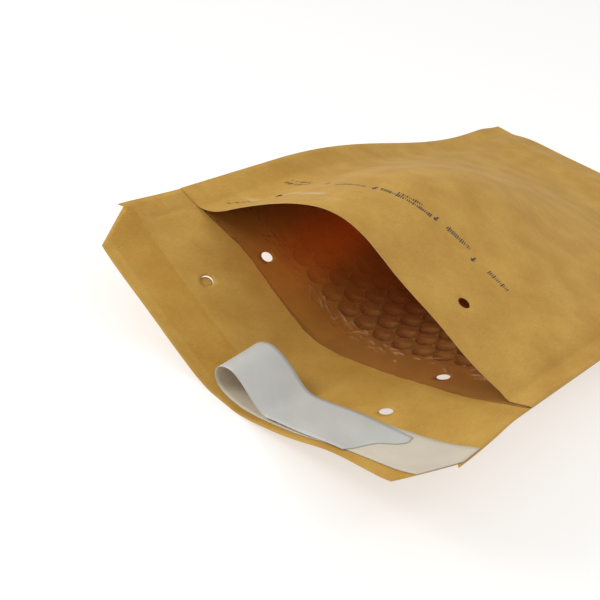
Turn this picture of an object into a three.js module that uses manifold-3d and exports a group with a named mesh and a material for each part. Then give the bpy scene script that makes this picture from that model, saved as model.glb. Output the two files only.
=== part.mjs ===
// A padded mailing envelope lying open on its back.
//
// One kraft sheet is folded once at the closed bottom and sealed along both
// sides. The back panel sags into a shallow valley, the front panel arches
// over it, and the back runs on past the mouth as the flap. A bubble film
// liner, folded the same way, lines the pocket. A band of glue crosses the
// flap under a release strip, whose left half is peeled and folded back.
//
// Both panels are described by one idea: at each distance v from the mouth,
// the panel's cross-section is a line as long as the envelope is wide, and a
// short table says which way that line points at each fraction s of its
// length. So the paper bends and never stretches.
//
// Frame: millimetres, +Z up, X across the envelope, Y from the flap to the
// closed bottom. The origin is on the rest surface, under the middle.

import * as THREE from 'three';
import { mergeVertices } from 'three/addons/utils/BufferGeometryUtils.js';
import Module from 'manifold-3d';

const wasm = await Module();
wasm.setup();

// The envelope laid flat
const WIDTH = 200;
const LENGTH = 275;
const FLAP = 51.4;
const SEAL = 10;
const SEAL_BLEND = 4;
const SEAL_INSET = 0.4;
const HOLE_DIAMETER = 5.4;
const HOLE_FROM_SIDE = 46.4;
const HOLE_FROM_MOUTH = 17.5;
const FRONT_HOLES = [[35, 23], [147.5, 20]];

// The cut corners of the flap: a small tooth, then the slanting cut
const TOOTH_AT = 34.4;
const NOTCH_AT = 32.4;
const NOTCH_DEPTH = 1.8;
const CORNER_CUT = 14.7;
const TOOTH_LIFT = 2;
const FLAP_DROOP = 6;

// Thicknesses and clearances
const PAPER = 0.3;
const SEALED_FILM = 0.4;
const GAP = 0.3;
const FILM = 0.3;
const BUBBLE_PAD = 3.2;
const POCKET = 0.4;

// Where the liner lies
const LINER_FROM_MOUTH = 8;
const BUBBLES_FROM_MOUTH = 25;
const PAD_RISE = 15;

// The front's edge stands back from the mouth line, most of all in the middle,
// and a little more at the right than at the left
const LIP_SETBACK = 0.2;
const LIP_RECESS = 8.4;
const LIP_SKEW = 7.6;

// How the open pocket closes towards the bottom
const CLOSING_FROM = 60;
const CLOSED_AT = 240;
const FOLD_TAPER = 25;
const FOLD_FULLNESS = 0.45;

// The glue band and the release strip, as distances out from the mouth
const GLUE_NEAR = 28;
const GLUE_FAR = 46;
const GLUE = 0.3;
const STRIP_NEAR = 25.8;
const STRIP_FAR = 48;
const STRIP = 0.25;
const STRIP_INSET = 0.6;
const PEEL_S = 0.48;
const LANDING_S = 0.64;
const LOOP_WIDENING = 0.15;
const FREE_END_NEAR = 175;
const FREE_END_FAR = 158.5;
const FREE_END_SLANT = 1.3;
const FREE_LAYER_HEIGHT = 1.1;
const FREE_LAYER_DRIFT = 1.8;
const GLUE_MARGIN = 2;

// Direction of each cross-section in degrees, at fractions of its width.
// Tables that stop at 0.5 are mirrored for the other half.
const VALLEY = [[0, -28], [0.1, -24.7], [0.2, -22], [0.3, -22.6], [0.4, -17.2], [0.5, 0]];
const PILLOW = [[0, -6], [0.05, -6], [0.065, -18], [0.1, -15], [0.14, -3], [0.18, 0], [0.5, 0]];
const CROWN = [[0, -6], [0.05, -6], [0.065, 18], [0.1, 15], [0.14, 3], [0.18, 0], [0.5, 0]];
const LIP = [
  [0, -28], [0.05, -6], [0.08, 7.5], [0.1, 19.5], [0.14, 32.5], [0.2, 32], [0.3, 27],
  [0.38, 17], [0.43, 4], [0.49, -11.5], [0.55, -24.5], [0.6, -26.5], [0.7, -15.5],
  [0.8, -19], [0.88, -7.5], [0.92, -9.5], [0.935, -22.5], [0.95, -41.5], [1, 28],
];

// The strip's loop: millimetres along it, and its turn from facing left
const LOOP = [
  [0, 0], [4, 40], [8, 80], [12, 125], [16, 155], [21, 185], [26, 205], [36, 208], [42, 180],
];

// Grid stations across and along the web
const ACROSS_HALF = [0, 0.05, 0.065, 0.08, 0.1, 0.14, 0.19, 0.25, 0.31, 0.37, 0.42, 0.46];
const ACROSS = [...ACROSS_HALF, 0.5, ...ACROSS_HALF.map((s) => 1 - s).reverse()];
const LINER_ACROSS = ACROSS.filter((s) => s > 0.07 && s < 0.93);
const ALONG_FLAP = [-FLAP, -TOOTH_AT, -28, -22, -15, -7, 0];
const ALONG_BODY = [8, 25, 40, 60, 90, 120, 150, 180, 210, 240, 250, 263, 270, LENGTH];
const FOLD_STEPS = [0.25, 0.5, 0.75];
const STRIP_ALONG = [-STRIP_FAR, -40, -NOTCH_AT - 0.1, -STRIP_NEAR];
const TRACE_STEPS = 400;
const FITTING_ROUNDS = 40;

// The loop is followed in half millimetres, and drawn at these of its points
const LOOP_STEP = 0.5;
const LOOP_ROWS = [8, 14, 20, 26, 32, 40, 50, 60, 70, 80];

// The punch is a round prism. The die that cuts the corners of the flap is a
// prism wider and taller than the flap.
const PUNCH_LENGTH = 16;
const PUNCH_SIDES = 12;
const DIE_CLEARANCE = 0.02;
const DIE_REACH = 30;
const DIE_LOW = -5;
const DIE_HEIGHT = 80;

const radians = (degrees) => THREE.MathUtils.degToRad(degrees);
const { lerp, smoothstep, clamp } = THREE.MathUtils;

// Straight-line reading of a table of [position, value] pairs
function readTable(table, position) {
  const last = table.length - 1;
  if (position >= table[last][0]) return table[last][1];
  const next = Math.max(1, table.findIndex(([at]) => at > position));
  const [from, low] = table[next - 1];
  const [to, high] = table[next];
  return lerp(low, high, (position - from) / (to - from));
}

function readHalfTable(table, s) {
  return s <= 0.5 ? readTable(table, s) : -readTable(table, 1 - s);
}

// 1 where the pocket stands fully open, 0 where the envelope lies flat
function openness(v) {
  return 1 - smoothstep(v, CLOSING_FROM, CLOSED_AT);
}

// 1 where the padding is full, less where it is pinched by the bottom fold
function fullness(v) {
  return lerp(FOLD_FULLNESS, 1, smoothstep(LENGTH - v, 0, FOLD_TAPER));
}

// 0 inside the sealed side bands, 1 where the panels are free of each other
function freedom(s) {
  const fromSide = WIDTH * Math.min(s, 1 - s);
  return smoothstep(fromSide, SEAL - SEAL_BLEND / 4, SEAL + 3 * SEAL_BLEND / 4);
}

// Follows a direction function across the width from a starting point
function trace(direction, start) {
  const step = WIDTH / TRACE_STEPS;
  const points = [{ x: start.x, z: start.z, angle: direction(0) }];
  for (let i = 1; i <= TRACE_STEPS; i++) {
    const before = points[i - 1];
    const heading = direction((i - 0.5) / TRACE_STEPS);
    const x = before.x + step * Math.cos(heading);
    const z = before.z + step * Math.sin(heading);
    points.push({ x, z, angle: direction(i / TRACE_STEPS) });
  }
  return points;
}

function backAngle(s, v) {
  const open = openness(v);
  const flat = fullness(v) * readHalfTable(PILLOW, s);
  return radians(lerp(flat, readHalfTable(VALLEY, s), open));
}

function traceBack(v) {
  const line = trace((s) => backAngle(s, v), { x: 0, z: 0 });
  const middle = line[TRACE_STEPS].x / 2;
  const lowest = Math.min(...line.map((point) => point.z));
  return line.map(({ x, z, angle }) => ({ x: x - middle, z: z - lowest, angle }));
}

// Moves a traced point off its line, to the upper side
function raise(point, distance) {
  const x = point.x - distance * Math.sin(point.angle);
  const z = point.z + distance * Math.cos(point.angle);
  return { x, z, angle: point.angle };
}

// The front panel starts and ends on the sealed sides of the back. Its arch
// is scaled and tilted until it spans exactly from one side to the other.
function traceFront(v, back) {
  const sealThickness = 2 * PAPER + SEALED_FILM;
  const start = raise(back[0], sealThickness);
  const end = raise(back[TRACE_STEPS], sealThickness);
  const open = openness(v);
  let arch = 1;
  let tilt = 0;
  let line = [];
  for (let round = 0; round < FITTING_ROUNDS; round++) {
    const direction = (s) => {
      const flat = fullness(v) * readHalfTable(CROWN, s);
      const shape = radians(lerp(flat, readTable(LIP, s), open));
      return lerp(backAngle(s, v), arch * shape + tilt, freedom(s));
    };
    line = trace(direction, start);
    const reached = line[TRACE_STEPS];
    const slackWanted = WIDTH - (end.x - start.x);
    const slackHad = WIDTH - (reached.x - start.x);
    arch *= Math.sqrt(slackWanted / slackHad);
    tilt += (end.z - reached.z) / WIDTH;
  }
  return line;
}

const tracedPanels = new Map();

function panelsAt(v) {
  if (!tracedPanels.has(v)) {
    const back = traceBack(v);
    tracedPanels.set(v, { back, front: traceFront(v, back) });
  }
  return tracedPanels.get(v);
}

function pick(line, s) {
  const place = clamp(s, 0, 1) * TRACE_STEPS;
  const before = Math.min(Math.floor(place), TRACE_STEPS - 1);
  const share = place - before;
  const a = line[before];
  const b = line[before + 1];
  const x = lerp(a.x, b.x, share);
  const z = lerp(a.z, b.z, share);
  return { x, z, angle: lerp(a.angle, b.angle, share) };
}

// The flap's side edges curl up a little towards the teeth, and its right
// corner, which the strip holds less stiff, droops
function curl(s, v) {
  const side = 1 - smoothstep(Math.min(s, 1 - s), 0, 0.1);
  const corner = smoothstep(s, 0.75, 1);
  const lift = TOOTH_LIFT * side - FLAP_DROOP * corner;
  return lift * smoothstep(-v, 0, TOOTH_AT);
}

// Points on the panels, at a depth into the envelope from the outer face
function backPoint(s, v, depth) {
  const point = raise(pick(panelsAt(v).back, s), depth);
  return new THREE.Vector3(point.x, v, point.z + curl(s, v));
}

function recess(s, v) {
  const atLip = LIP_SETBACK + LIP_RECESS * 4 * s * (1 - s) + LIP_SKEW * s;
  return atLip * (1 - v / LENGTH);
}

function frontPoint(s, v, depth) {
  const point = raise(pick(panelsAt(v).front, s), -depth);
  return new THREE.Vector3(point.x, v + recess(s, v), point.z);
}

// The bottom fold is a half round from the back panel up to the front panel
function foldPoint(s, turn, depth) {
  const low = backPoint(s, LENGTH, depth);
  const high = frontPoint(s, LENGTH, depth);
  const middle = low.clone().lerp(high, 0.5);
  const half = high.clone().sub(low).multiplyScalar(0.5);
  const angle = Math.PI * turn;
  const point = middle.clone().addScaledVector(half, -Math.cos(angle));
  point.y += half.length() * Math.sin(angle);
  return point;
}

// Rows of the folded web, from the back's free edge round to the front's.
// Each row is a function of s and of the depth into the envelope.
function webRows(alongBack, alongFront) {
  const backRows = alongBack.map((v) => ({ v, at: (s, depth) => backPoint(s, v, depth) }));
  const foldRows = FOLD_STEPS.map((turn) => (
    { v: LENGTH, at: (s, depth) => foldPoint(s, turn, depth) }
  ));
  const frontRows = [...alongFront].reverse().map((v) => (
    { v, at: (s, depth) => frontPoint(s, v, depth) }
  ));
  return [...backRows, ...foldRows, ...frontRows];
}

function signedVolume(vertices, triangles) {
  const corner = (index) => new THREE.Vector3().fromArray(vertices, 3 * index);
  let volume = 0;
  for (let t = 0; t < triangles.length; t += 3) {
    const [a, b, c] = [0, 1, 2].map((k) => corner(triangles[t + k]));
    volume += a.dot(b.cross(c)) / 6;
  }
  return volume;
}

function toManifold(vertices, triangles) {
  const vertProperties = new Float32Array(vertices);
  const triVerts = new Uint32Array(triangles);
  if (signedVolume(vertProperties, triVerts) < 0) triVerts.reverse();
  return new wasm.Manifold(new wasm.Mesh({ numProp: 3, vertProperties, triVerts }));
}

// Which way a cell of the grid is split in two. Left and right halves mirror
// each other, and the two panels agree, so that layers stay parallel.
function splitsBack(a, b) {
  return (a.x + b.x > 0) === (b.y > a.y);
}

// A closed solid between two faces given as equal grids of points
function slab(outerGrid, innerGrid) {
  const rows = outerGrid.length;
  const columns = outerGrid[0].length;
  const vertices = [...outerGrid.flat(), ...innerGrid.flat()].flatMap((p) => p.toArray());
  const outer = (j, i) => j * columns + i;
  const inner = (j, i) => rows * columns + j * columns + i;
  const triangles = [];
  const quad = (a, b, c, d, back = false) => (
    back ? triangles.push(a, b, d, b, c, d) : triangles.push(a, b, c, a, c, d)
  );
  for (let j = 0; j < rows - 1; j++) {
    for (let i = 0; i < columns - 1; i++) {
      const back = splitsBack(outerGrid[j][i], outerGrid[j + 1][i + 1]);
      quad(outer(j, i), outer(j + 1, i), outer(j + 1, i + 1), outer(j, i + 1), back);
      quad(inner(j, i), inner(j, i + 1), inner(j + 1, i + 1), inner(j + 1, i), back);
    }
    quad(outer(j, 0), inner(j, 0), inner(j + 1, 0), outer(j + 1, 0));
    const end = columns - 1;
    quad(outer(j, end), outer(j + 1, end), inner(j + 1, end), inner(j, end));
  }
  for (let i = 0; i < columns - 1; i++) {
    const last = rows - 1;
    quad(outer(0, i), outer(0, i + 1), inner(0, i + 1), inner(0, i));
    quad(outer(last, i), inner(last, i), inner(last, i + 1), outer(last, i + 1));
  }
  return toManifold(vertices, triangles);
}

function fromGeometry(geometry) {
  const bare = geometry.clone();
  bare.deleteAttribute('normal');
  bare.deleteAttribute('uv');
  const merged = mergeVertices(bare, 1e-4);
  return toManifold(merged.attributes.position.array, merged.index.array);
}

function toMesh(solid, name, colour, roughness) {
  const { vertProperties, triVerts } = solid.getMesh();
  const geometry = new THREE.BufferGeometry();
  geometry.setAttribute('position', new THREE.BufferAttribute(vertProperties, 3));
  geometry.setIndex(new THREE.BufferAttribute(triVerts, 1));
  geometry.computeVertexNormals();
  const material = new THREE.MeshStandardMaterial({ color: colour, roughness, metalness: 0 });
  const mesh = new THREE.Mesh(geometry, material);
  mesh.name = name;
  return mesh;
}

// A punch goes square through the panel that pointAt describes
function punch(pointAt, s, v) {
  const reach = 0.01;
  const centre = pointAt(s, v, 0);
  const across = pointAt(s + reach, v, 0).sub(pointAt(s - reach, v, 0)).normalize();
  const along = new THREE.Vector3(0, 1, 0);
  const axis = new THREE.Vector3().crossVectors(across, along).normalize();
  const radius = HOLE_DIAMETER / 2;
  const geometry = new THREE.CylinderGeometry(radius, radius, PUNCH_LENGTH, PUNCH_SIDES);
  const turn = new THREE.Quaternion().setFromUnitVectors(new THREE.Vector3(0, 1, 0), axis);
  geometry.applyQuaternion(turn);
  geometry.translate(centre.x, centre.y, centre.z);
  return fromGeometry(geometry);
}

// Two holes through the back panel, or through its flap where v is negative
function backHoles(v) {
  const sides = [HOLE_FROM_SIDE / WIDTH, 1 - HOLE_FROM_SIDE / WIDTH];
  return sides.map((s) => punch(backPoint, s, v));
}

function frontHoles() {
  return FRONT_HOLES.map(([x, v]) => punch(frontPoint, x / WIDTH, v));
}

function punchHoles(solid, punches) {
  return punches.reduce((rest, hole) => rest.subtract(hole), solid);
}

// What the die cuts from one corner of the flap, as an upright prism
function cornerOffcut(side) {
  const at = (inset, out) => {
    const point = backPoint(inset / WIDTH, -Math.min(out, FLAP), 0);
    return new THREE.Vector2(side * -point.x, -out);
  };
  const edge = at(0, TOOTH_AT);
  const tooth = new THREE.Vector2(edge.x + side * DIE_CLEARANCE, edge.y);
  const outside = new THREE.Vector2(tooth.x + side * DIE_REACH, tooth.y);
  const notch = at(NOTCH_DEPTH, NOTCH_AT);
  const corner = at(CORNER_CUT, FLAP);
  const past = corner.clone().add(corner.clone().sub(notch));
  const below = new THREE.Vector2(outside.x, past.y);
  const outline = new THREE.Shape([outside, tooth, notch, past, below]);
  const prism = new THREE.ExtrudeGeometry(outline, { depth: DIE_HEIGHT, bevelEnabled: false });
  prism.translate(0, 0, DIE_LOW);
  return fromGeometry(prism);
}

// The film sealed between the papers joins the panels along both sides
function sideSeal(side) {
  const edges = [SEAL_INSET / WIDTH, (SEAL - SEAL_INSET) / WIDTH];
  const across = side < 0 ? edges : edges.map((s) => 1 - s).reverse();
  const along = [LIP_SETBACK + SEAL_INSET, ...ALONG_BODY];
  const depth = PAPER / 2;
  const low = along.map((v) => across.map((s) => backPoint(s, v, depth)));
  const high = along.map((v) => across.map((s) => frontPoint(s, v, depth)));
  return slab(low, high);
}

function kraftEnvelope() {
  const rows = webRows([...ALONG_FLAP, ...ALONG_BODY], [0, ...ALONG_BODY]);
  const outer = rows.map((row) => ACROSS.map((s) => row.at(s, 0)));
  const inner = rows.map((row) => ACROSS.map((s) => row.at(s, PAPER)));
  let sheet = slab(outer, inner).add(sideSeal(-1)).add(sideSeal(1));
  sheet = sheet.subtract(cornerOffcut(-1)).subtract(cornerOffcut(1));
  const back = [...backHoles(-HOLE_FROM_MOUTH), ...backHoles(HOLE_FROM_MOUTH)];
  return punchHoles(sheet, [...back, ...frontHoles()]);
}

// The liner is bare film at its edges and full of bubbles in between, and
// never thicker than its half of the room between the panels.
function linerThickness(s, v) {
  const depth = PAPER + GAP;
  const side = smoothstep(Math.min(s, 1 - s), 0.08, 0.14);
  const mouth = smoothstep(v, BUBBLES_FROM_MOUTH, BUBBLES_FROM_MOUTH + PAD_RISE);
  const bottom = smoothstep(LENGTH - v, 0, FOLD_TAPER);
  const wanted = lerp(FILM, BUBBLE_PAD, side * mouth * bottom);
  const room = backPoint(s, v, 0).distanceTo(frontPoint(s, v, 0)) / 2;
  return Math.min(wanted, room - depth - POCKET / 2);
}

function bubbleLiner() {
  const depth = PAPER + GAP;
  const along = [...ALONG_BODY];
  along[0] = LINER_FROM_MOUTH;
  const rows = webRows(along, along);
  const outer = rows.map((row) => LINER_ACROSS.map((s) => row.at(s, depth)));
  const inner = rows.map((row) => (
    LINER_ACROSS.map((s) => row.at(s, depth + linerThickness(s, row.v)))
  ));
  return punchHoles(slab(outer, inner), [...backHoles(HOLE_FROM_MOUTH), ...frontHoles()]);
}

// How far the flap's cut side stands in from the full width, at v
function cutInset(v) {
  const share = (-v - NOTCH_AT) / (FLAP - NOTCH_AT);
  return share < 0 ? 0 : lerp(NOTCH_DEPTH, CORNER_CUT, share);
}

function adhesiveStrip() {
  const depth = PAPER + GAP;
  const inset = (v) => (cutInset(v) + GLUE_MARGIN) / WIDTH;
  const widest = inset(-GLUE_FAR);
  const middle = ACROSS.filter((s) => s > widest && s < 1 - widest);
  const along = [-GLUE_FAR, -NOTCH_AT, -GLUE_NEAR];
  const across = (v) => [inset(v), ...middle, 1 - inset(v)];
  const low = along.map((v) => across(v).map((s) => backPoint(s, v, depth)));
  const high = along.map((v) => across(v).map((s) => backPoint(s, v, depth + GLUE)));
  return slab(low, high);
}

// 0 at the strip's edge by the flap's edge, 1 at its edge by the mouth
function acrossStrip(v) {
  return (v + STRIP_FAR) / (STRIP_FAR - STRIP_NEAR);
}

// Points round the strip's loop, from where it leaves the flap
function loopLine(v) {
  const step = LOOP_STEP * (1 + LOOP_WIDENING * acrossStrip(v));
  const line = [{ x: 0, z: 0, angle: Math.PI }];
  for (let i = 1; i * LOOP_STEP <= LOOP[LOOP.length - 1][0]; i++) {
    const turn = radians(readTable(LOOP, (i - 0.5) * LOOP_STEP));
    const before = line[i - 1];
    const x = before.x - step * Math.cos(turn);
    const z = before.z + step * Math.sin(turn);
    line.push({ x, z, angle: Math.PI - turn });
  }
  return line;
}

// The strip's face that is against the glue, and the other one, row by row:
// along the flap from the right, round the loop, and back to the right.
function releaseStrip() {
  const stuck = PAPER + GAP + GLUE + GAP;
  const endS = (v) => 1 - (cutInset(v) + STRIP_INSET) / WIDTH;
  const lowestEnd = endS(-STRIP_FAR);
  const run = ACROSS.filter((s) => s > PEEL_S && s < lowestEnd).reverse();
  const stuckRows = [endS, ...run.map((s) => () => s), () => PEEL_S];
  const stuckPoint = (sOf, v, lift) => backPoint(sOf(v), v, stuck + lift);

  const loopPoint = (index, v, lift) => {
    const foot = backPoint(PEEL_S, v, stuck);
    const { x, z, angle } = loopLine(v)[index];
    return new THREE.Vector3(
      foot.x + x + lift * Math.sin(angle),
      v,
      foot.z + z - lift * Math.cos(angle),
    );
  };

  const freeS = (v) => {
    const share = Math.min(1, FREE_END_SLANT * acrossStrip(v));
    return lerp(FREE_END_FAR, FREE_END_NEAR, share) / WIDTH;
  };
  const back = ACROSS.filter((s) => s > LANDING_S && s < FREE_END_FAR / WIDTH);
  const freeRows = [() => LANDING_S, ...back.map((s) => () => s), freeS];
  const freePoint = (sOf, v, lift) => {
    const drift = FREE_LAYER_DRIFT * smoothstep(sOf(v), LANDING_S, freeS(v));
    return backPoint(sOf(v), v - drift, stuck + FREE_LAYER_HEIGHT - lift);
  };

  const face = (lift) => [
    ...stuckRows.map((sOf) => STRIP_ALONG.map((v) => stuckPoint(sOf, v, lift))),
    ...LOOP_ROWS.map((index) => STRIP_ALONG.map((v) => loopPoint(index, v, lift))),
    ...freeRows.map((sOf) => STRIP_ALONG.map((v) => freePoint(sOf, v, lift))),
  ];
  return slab(face(0), face(STRIP));
}

const envelope = new THREE.Group();
envelope.add(toMesh(kraftEnvelope(), 'kraft_envelope', 0xb2863c, 0.75));
envelope.add(toMesh(bubbleLiner(), 'bubble_liner', 0x9a6a2c, 0.3));
envelope.add(toMesh(adhesiveStrip(), 'adhesive_strip', 0xc9a35a, 0.25));
envelope.add(toMesh(releaseStrip(), 'release_strip', 0xbdb9af, 0.5));

// Centre the box over the origin
const extent = new THREE.Box3().setFromObject(envelope);
envelope.position.set(0, -(extent.min.y + extent.max.y) / 2, -extent.min.z);

const group = new THREE.Group();
group.add(envelope);

export default group;
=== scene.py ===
# %% [markdown]
# # A padded envelope, lying open
#
# A padded envelope is one sheet of kraft paper, folded once at the closed
# bottom and sealed along both sides, with bubble film glued inside it. Here
# it lies on its back. The mouth stands open, and the release strip on the
# flap is half peeled, looped back over itself.
#
# Everything in it is a thin flat thing that has been bent. So each piece is
# first drawn flat, in millimetres, as it would be cut, and then carried to its
# place by one function that knows how the envelope is bent.

import math

import bpy
import numpy as np
from mathutils import Matrix, Vector
from mathutils.geometry import delaunay_2d_cdt


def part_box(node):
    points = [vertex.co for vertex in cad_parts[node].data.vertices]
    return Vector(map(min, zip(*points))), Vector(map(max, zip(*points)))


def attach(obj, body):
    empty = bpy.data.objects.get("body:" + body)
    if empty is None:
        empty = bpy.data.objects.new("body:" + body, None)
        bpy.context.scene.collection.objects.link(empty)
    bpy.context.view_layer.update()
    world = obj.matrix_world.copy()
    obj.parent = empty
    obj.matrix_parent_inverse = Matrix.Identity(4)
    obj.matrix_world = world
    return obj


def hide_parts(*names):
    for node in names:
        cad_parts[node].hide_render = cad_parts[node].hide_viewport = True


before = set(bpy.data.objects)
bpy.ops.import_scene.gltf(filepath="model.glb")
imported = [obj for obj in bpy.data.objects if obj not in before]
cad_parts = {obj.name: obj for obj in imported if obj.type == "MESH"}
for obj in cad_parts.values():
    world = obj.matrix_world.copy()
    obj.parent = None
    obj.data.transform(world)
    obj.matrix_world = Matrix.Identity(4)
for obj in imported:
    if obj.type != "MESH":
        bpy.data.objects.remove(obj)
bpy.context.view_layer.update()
print("nodes:", sorted(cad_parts))

# %% [markdown]
# ## The sizes of the flat parts
#
# These are the sizes that a maker would cut to, in millimetres. The web is
# the whole sheet laid out: w is 0 at the mouth of the back panel, negative on
# the flap, and grows up the back, round the bottom fold and down the front.

# %% Sizes
MM = 0.001
WIDTH = 200.0
LENGTH = 275.0
FLAP = 51.4
FOLD = 5.0
WEB_END = 2 * LENGTH + FOLD
SEAL = 10.0
HOLE_RADIUS = 2.7
HOLE_FROM_SIDE = 46.4
HOLE_FROM_MOUTH = 17.5
FRONT_HOLES = [(35.0, 23.0), (147.5, 20.0)]
TOOTH_AT = 34.4
NOTCH_AT = 32.4
NOTCH_DEPTH = 1.8
CORNER_CUT = 14.7

PAPER = 0.22
FILM = 0.08
GLUE_LINE = 0.02
SEAL_STACK = 2 * (PAPER + FILM + 2 * GLUE_LINE)

mouth_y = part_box("kraft_envelope")[0].y + FLAP * MM
print("web:", WIDTH, "x", FLAP + WEB_END, "mm, mouth line at y =", round(mouth_y, 4))

# %% [markdown]
# ## How the envelope is bent
#
# Paper bends but does not stretch. At each distance v from the mouth, the
# cross-section is a line exactly as long as the envelope is wide, and a small
# table says which way it points at each fraction s of its width. Following
# those directions step by step draws the section. The tables are blended from
# the open mouth to the flat, padded far end, which is less full at its fold.

# %% Direction tables, in degrees at fractions of the width
VALLEY = [(0, -28), (.1, -24.7), (.2, -22), (.3, -22.6), (.4, -17.2), (.5, 0)]
PILLOW = [(0, -6), (.05, -6), (.065, -18), (.1, -15), (.14, -3), (.18, 0), (.5, 0)]
CROWN = [(0, -6), (.05, -6), (.065, 18), (.1, 15), (.14, 3), (.18, 0), (.5, 0)]
LIP = [
    (0, -28), (.05, -6), (.08, 7.5), (.1, 19.5), (.14, 32.5), (.2, 32), (.3, 27),
    (.38, 17), (.43, 4), (.49, -11.5), (.55, -24.5), (.6, -26.5), (.7, -15.5),
    (.8, -19), (.88, -7.5), (.92, -9.5), (.935, -22.5), (.95, -41.5), (1, 28),
]
# In mm from the mouth, and how full the pillow still is at the bottom fold
OPEN_TO, CLOSED_FROM = 60, 240
FULL_AT_FOLD = 0.45
ROWS = np.arange(0, LENGTH + 1)
STATIONS = np.linspace(0, 1, 401)
MIDS = (STATIONS[1:] + STATIONS[:-1]) / 2


def smooth(x, start, end):
    """0 before start, 1 after end, and an even S between them."""
    t = np.clip((np.asarray(x, float) - start) / (end - start), 0, 1)
    return t * t * (3 - 2 * t)


def whole(table, s):
    """A table read across the full width."""
    return np.interp(s, *np.array(table, float).T)


def mirrored(table, s):
    """A table for the left half, turned round for the right half."""
    return np.where(s <= 0.5, 1, -1) * whole(table, np.minimum(s, 1 - s))


def openness(v):
    """1 where the envelope stands open, 0 where it is closed and flat."""
    return 1 - smooth(v, OPEN_TO, CLOSED_FROM)


print("sections:", len(ROWS), "rows of", len(STATIONS), "stations")

# %% [markdown]
# The back panel is followed first. The front panel starts and ends on the
# back's sealed sides, so its arch is scaled and tilted, again and again, until
# it spans exactly from one side to the other.

# %% Trace the back and front panels
open_share = openness(ROWS)[:, None]
full_share = FULL_AT_FOLD + (1 - FULL_AT_FOLD) * smooth(LENGTH - ROWS, 0, 25)[:, None]


def back_heading(s):
    """The back section's direction at each fraction of the width, in radians."""
    flat = full_share * mirrored(PILLOW, s)
    return np.radians(flat + (mirrored(VALLEY, s) - flat) * open_share)


def follow(heading, start_x, start_z):
    """Steps along the headings and returns every station's x and z."""
    step = WIDTH / len(MIDS)
    x = np.cumsum(np.hstack([start_x, step * np.cos(heading)]), axis=1)
    z = np.cumsum(np.hstack([start_z, step * np.sin(heading)]), axis=1)
    return x, z


zeros = np.zeros((len(ROWS), 1))
x, z = follow(back_heading(MIDS), zeros, zeros)
back_panel = np.stack([
    x - x[:, -1:] / 2,
    z - z.min(axis=1, keepdims=True),
    back_heading(STATIONS) + zeros,
])

left, right = back_panel[:, :, :1], back_panel[:, :, -1:]
start_x, end_x = (p[0] - SEAL_STACK * np.sin(p[2]) for p in (left, right))
start_z, end_z = (p[1] + SEAL_STACK * np.cos(p[2]) for p in (left, right))
arch, tilt = zeros + 1, zeros
FITTING_ROUNDS = 40


def front_heading(s):
    """The front's direction. It follows the back's within the side seals."""
    free = smooth(WIDTH * np.minimum(s, 1 - s), SEAL - 1, SEAL + 3)
    flat = full_share * mirrored(CROWN, s)
    shape = np.radians(flat + (whole(LIP, s) - flat) * open_share)
    own = back_heading(s)
    return own + (arch * shape + tilt - own) * free


for _ in range(FITTING_ROUNDS):
    x, z = follow(front_heading(MIDS), start_x, start_z)
    slack = (WIDTH - (end_x - start_x)) / (WIDTH - (x[:, -1:] - start_x))
    miss = end_z - z[:, -1:]
    arch, tilt = arch * np.sqrt(slack), tilt + miss / WIDTH
front_panel = np.stack([x, z, front_heading(STATIONS) + zeros])
print("front misses the side by at most", round(float(abs(miss).max()), 4), "mm")

# %% [markdown]
# ## From flat to bent
#
# `form` takes points of the flat web and gives their places in the frame. The
# depth is counted from the outer face inwards, so the layers inside the paper
# use the same function and stay parallel to it. A little unevenness is added
# to all layers alike: paper that has been handled is never quite smooth. The
# front's lip stands back from the mouth line of the back panel, most of all in
# its middle. Nothing goes lower than the surface that the envelope lies on.

# %% Small unevenness of the sheet
# Gentle waves over the sheet: radians per mm along x and along w, phase, height in mm
WAVES = [
    (0.061, 0.037, 0.4, 0.30), (-0.043, 0.083, 2.1, 0.22), (0.118, -0.052, 4.0, 0.14),
    (0.027, 0.151, 1.3, 0.10), (0.171, 0.094, 5.2, 0.07), (-0.140, 0.203, 3.3, 0.05),
]
# Soft creases behind the front's lip: along x from where to where, at which v
# at either end, how wide and how high, all in mm
LIP_CREASES = [
    ((13, 52), (23.5, 22.5), 1.7, 0.6), ((46, 72), (22, 15), 1.6, 0.75),
    ((66, 86), (14.5, 15.5), 1.2, -0.6), ((70, 84), (10.5, 11.5), 1.0, 0.45),
    ((20, 60), (30, 27), 2.2, -0.5),
]
CREASE_RUN_OUT = 8
SIDE_CREASE_WIDE, SIDE_CREASE_DEEP = 1.1, 0.35


def lip_creases(x, v):
    """The height of the creases behind the lip, in mm."""
    height = 0.0
    for (x0, x1), (v0, v1), wide, high in LIP_CREASES:
        middle = np.interp(x, (x0, x1), (v0, v1))
        ends = smooth(x, x0, x0 + CREASE_RUN_OUT) * (1 - smooth(x, x1 - CREASE_RUN_OUT, x1))
        height = height + high * ends * np.exp(-((v - middle) / wide) ** 2)
    return height


def relief(x, w):
    """The sheet's unevenness in mm. The waves leave out the side seals."""
    v = np.minimum(w, WEB_END - w)
    from_side = np.minimum(x, WIDTH - x)
    free = np.maximum(smooth(from_side, SEAL, SEAL + 12), smooth(-w, 0, 15))
    waves = sum(size * np.sin(a * x + b * w + c) for a, b, c, size in WAVES)
    crease = np.exp(-((from_side - SEAL) / SIDE_CREASE_WIDE) ** 2)
    crease = crease * smooth(-w, 1, 8) * smooth(w, -26, -20)
    on_front = np.where(w > LENGTH, lip_creases(x, v), 0)
    return waves * free * (0.3 + 0.7 * openness(v)) - SIDE_CREASE_DEEP * crease + on_front


print(len(WAVES), "waves over the sheet and", len(LIP_CREASES), "creases behind the lip")

# %% The forming function
TOOTH_LIFT = 2.0
FLAP_DROOP = 6.0
LIP_SETBACK, LIP_RECESS, LIP_SKEW = 0.2, 8.4, 7.6


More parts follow.
